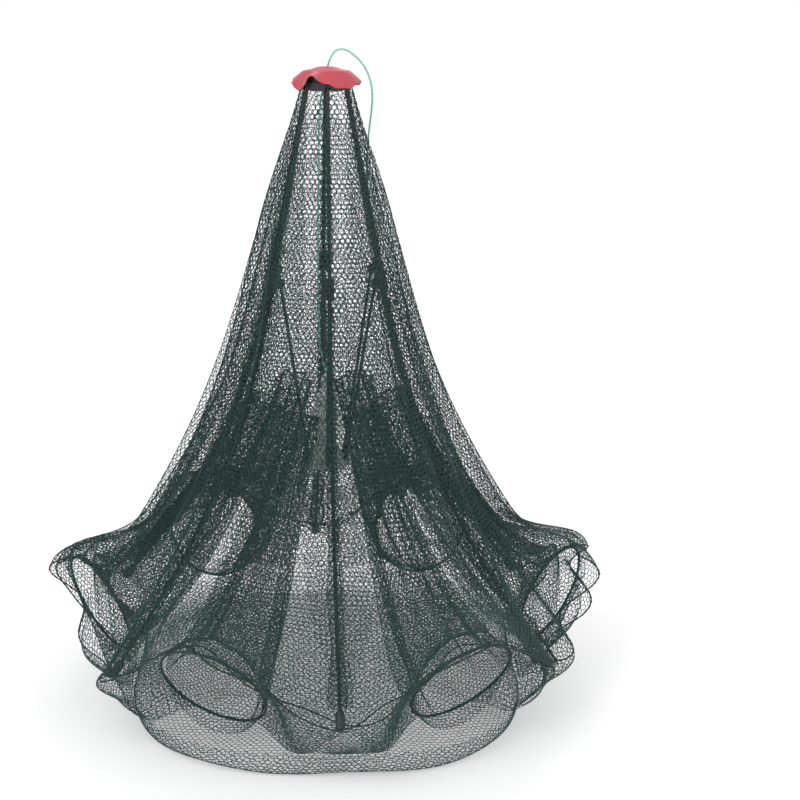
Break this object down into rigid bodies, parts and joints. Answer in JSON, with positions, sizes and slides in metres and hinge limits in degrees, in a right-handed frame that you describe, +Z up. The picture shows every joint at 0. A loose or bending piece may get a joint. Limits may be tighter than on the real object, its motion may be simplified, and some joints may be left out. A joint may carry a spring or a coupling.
{
  "type": "folding fish trap",
  "caption": "Umbrella-type net trap: sprung rods hinged to a hub, spread by stretchers on a cord-pulled runner, with netted entrance funnels.",
  "frame": {"origin": "centre of the base net's underside, on the floor, below the hub", "axes": "+Z up along the hub's axis, -Y towards the side the picture shows"},
  "size_m": [0.4136, 0.3966, 0.5188],
  "materials": {
    "black_plastic": "moulded",
    "black_rod": "smooth",
    "wire": "drawn",
    "white_plastic": "moulded",
    "red_washer": "soft sheet",
    "net": "knitted mesh",
    "cord": "braided",
    "twine": "twisted"
  },
  "bodies": {
    "hub": {"hub_body": "black_plastic", "hub_cap": "black_plastic", "hub_wire": "wire", "flower_washer": "red_washer", "net_bottom": "net"},
    "rib_1": {"rib_1": "black_rod", "rib_collar_1": "black_plastic", "rib_tip_cap_1": "black_plastic", "net_rib_panel_1": "net"},
    "stretcher_1": {"stretcher_1": "black_rod"},
    "rib_2": {"rib_2": "black_rod", "rib_collar_2": "black_plastic", "rib_tip_cap_2": "black_plastic", "net_rib_panel_2": "net"},
    "stretcher_2": {"stretcher_2": "black_rod"},
    "rib_3": {"rib_3": "black_rod", "rib_collar_3": "black_plastic", "rib_tip_cap_3": "black_plastic", "net_rib_panel_3": "net"},
    "stretcher_3": {"stretcher_3": "black_rod"},
    "rib_4": {"rib_4": "black_rod", "rib_collar_4": "black_plastic", "rib_tip_cap_4": "black_plastic", "net_rib_panel_4": "net"},
    "stretcher_4": {"stretcher_4": "black_rod"},
    "rib_5": {"rib_5": "black_rod", "rib_collar_5": "black_plastic", "rib_tip_cap_5": "black_plastic", "net_rib_panel_5": "net"},
    "stretcher_5": {"stretcher_5": "black_rod"},
    "rib_6": {"rib_6": "black_rod", "rib_collar_6": "black_plastic", "rib_tip_cap_6": "black_plastic", "net_rib_panel_6": "net"},
    "stretcher_6": {"stretcher_6": "black_rod"},
    "mid_1": {"net_mid_panel_1": "net", "entrance_hoop_1": "cord", "funnel_1": "net"},
    "mid_2": {"net_mid_panel_2": "net", "entrance_hoop_2": "cord", "funnel_2": "net"},
    "mid_3": {"net_mid_panel_3": "net", "entrance_hoop_3": "cord", "funnel_3": "net"},
    "mid_4": {"net_mid_panel_4": "net", "entrance_hoop_4": "cord", "funnel_4": "net"},
    "mid_5": {"net_mid_panel_5": "net", "entrance_hoop_5": "cord", "funnel_5": "net"},
    "mid_6": {"net_mid_panel_6": "net", "entrance_hoop_6": "cord", "funnel_6": "net"},
    "runner": {"runner_plug": "white_plastic", "runner_wire": "wire", "pull_twine": "twine", "twine_stop_knot": "twine", "twine_end_knot": "twine"}
  },
  "joints": [
    {"name": "rib_fold_1", "type": "hinge", "parent": "hub", "child": "rib_1", "pos_m": [0.00086, -0.01648, 0.48596], "axis": [-0.9986, -0.0523, 0], "range_deg": [-9, 75], "deforming": ["flower_washer", "net_rib_panel_1", "net_rib_panel_2", "net_rib_panel_3", "net_rib_panel_4", "net_rib_panel_5", "net_rib_panel_6", "net_mid_panel_1", "funnel_1", "net_mid_panel_2", "funnel_2", "net_mid_panel_3", "funnel_3", "net_mid_panel_4", "funnel_4", "net_mid_panel_5", "funnel_5", "net_mid_panel_6", "funnel_6"]},
    {"name": "rib_fold_2", "type": "hinge", "parent": "hub", "child": "rib_2", "pos_m": [0.0147, -0.00749, 0.48596], "axis": [-0.454, -0.891, 0], "range_deg": [-9, 75]},
    {"name": "rib_fold_3", "type": "hinge", "parent": "hub", "child": "rib_3", "pos_m": [0.01384, 0.00899, 0.48596], "axis": [0.5446, -0.8387, 0], "range_deg": [-9, 75]},
    {"name": "rib_fold_4", "type": "hinge", "parent": "hub", "child": "rib_4", "pos_m": [-0.00086, 0.01648, 0.48596], "axis": [0.9986, 0.0523, 0], "range_deg": [-9, 75]},
    {"name": "rib_fold_5", "type": "hinge", "parent": "hub", "child": "rib_5", "pos_m": [-0.0147, 0.00749, 0.48596], "axis": [0.454, 0.891, 0], "range_deg": [-9, 75]},
    {"name": "rib_fold_6", "type": "hinge", "parent": "hub", "child": "rib_6", "pos_m": [-0.01384, -0.00899, 0.48596], "axis": [-0.5446, 0.8387, 0], "range_deg": [-9, 75]},
    {"name": "mid_fold_1", "type": "hinge", "parent": "hub", "child": "mid_1", "pos_m": [0.00899, -0.01384, 0.48596], "axis": [-0.8387, -0.5446, 0], "range_deg": [-9, 75]},
    {"name": "mid_fold_2", "type": "hinge", "parent": "hub", "child": "mid_2", "pos_m": [0.01648, 0.00086, 0.48596], "axis": [0.0523, -0.9986, 0], "range_deg": [-9, 75]},
    {"name": "mid_fold_3", "type": "hinge", "parent": "hub", "child": "mid_3", "pos_m": [0.00749, 0.0147, 0.48596], "axis": [0.891, -0.454, 0], "range_deg": [-9, 75]},
    {"name": "mid_fold_4", "type": "hinge", "parent": "hub", "child": "mid_4", "pos_m": [-0.00899, 0.01384, 0.48596], "axis": [0.8387, 0.5446, 0], "range_deg": [-9, 75]},
    {"name": "mid_fold_5", "type": "hinge", "parent": "hub", "child": "mid_5", "pos_m": [-0.01648, -0.00086, 0.48596], "axis": [-0.0523, 0.9986, 0], "range_deg": [-9, 75]},
    {"name": "mid_fold_6", "type": "hinge", "parent": "hub", "child": "mid_6", "pos_m": [-0.00749, -0.0147, 0.48596], "axis": [-0.891, 0.454, 0], "range_deg": [-9, 75]},
    {"name": "stretcher_fold_1", "type": "hinge", "parent": "rib_1", "child": "stretcher_1", "pos_m": [0.00218, -0.0416, 0.33793], "axis": [-0.9986, -0.0523, 0], "range_deg": [-150, 18]},
    {"name": "stretcher_fold_2", "type": "hinge", "parent": "rib_2", "child": "stretcher_2", "pos_m": [0.03712, -0.01891, 0.33793], "axis": [-0.454, -0.891, 0], "range_deg": [-150, 18]},
    {"name": "stretcher_fold_3", "type": "hinge", "parent": "rib_3", "child": "stretcher_3", "pos_m": [0.03494, 0.02269, 0.33793], "axis": [0.5446, -0.8387, 0], "range_deg": [-150, 18]},
    {"name": "stretcher_fold_4", "type": "hinge", "parent": "rib_4", "child": "stretcher_4", "pos_m": [-0.00218, 0.0416, 0.33793], "axis": [0.9986, 0.0523, 0], "range_deg": [-150, 18]},
    {"name": "stretcher_fold_5", "type": "hinge", "parent": "rib_5", "child": "stretcher_5", "pos_m": [-0.03712, 0.01891, 0.33793], "axis": [0.454, 0.891, 0], "range_deg": [-150, 18]},
    {"name": "stretcher_fold_6", "type": "hinge", "parent": "rib_6", "child": "stretcher_6", "pos_m": [-0.03494, -0.02269, 0.33793], "axis": [-0.5446, 0.8387, 0], "range_deg": [-150, 18]},
    {"name": "runner_hinge", "type": "hinge", "parent": "stretcher_1", "child": "runner", "pos_m": [0.00086, -0.01648, 0.1899], "axis": [-0.9986, -0.0523, 0], "range_deg": [-9, 75]}
  ],
  "couplings": [
    {"joint": "rib_fold_2", "follows": "rib_fold_1", "ratio": 1},
    {"joint": "rib_fold_3", "follows": "rib_fold_1", "ratio": 1},
    {"joint": "rib_fold_4", "follows": "rib_fold_1", "ratio": 1},
    {"joint": "rib_fold_5", "follows": "rib_fold_1", "ratio": 1},
    {"joint": "rib_fold_6", "follows": "rib_fold_1", "ratio": 1},
    {"joint": "mid_fold_1", "follows": "rib_fold_1", "ratio": 1},
    {"joint": "mid_fold_2", "follows": "rib_fold_1", "ratio": 1},
    {"joint": "mid_fold_3", "follows": "rib_fold_1", "ratio": 1},
    {"joint": "mid_fold_4", "follows": "rib_fold_1", "ratio": 1},
    {"joint": "mid_fold_5", "follows": "rib_fold_1", "ratio": 1},
    {"joint": "mid_fold_6", "follows": "rib_fold_1", "ratio": 1},
    {"joint": "stretcher_fold_1", "follows": "rib_fold_1", "ratio": -2},
    {"joint": "stretcher_fold_2", "follows": "rib_fold_1", "ratio": -2},
    {"joint": "stretcher_fold_3", "follows": "rib_fold_1", "ratio": -2},
    {"joint": "stretcher_fold_4", "follows": "rib_fold_1", "ratio": -2},
    {"joint": "stretcher_fold_5", "follows": "rib_fold_1", "ratio": -2},
    {"joint": "stretcher_fold_6", "follows": "rib_fold_1", "ratio": -2},
    {"joint": "runner_hinge", "follows": "rib_fold_1", "ratio": 1}
  ]
}
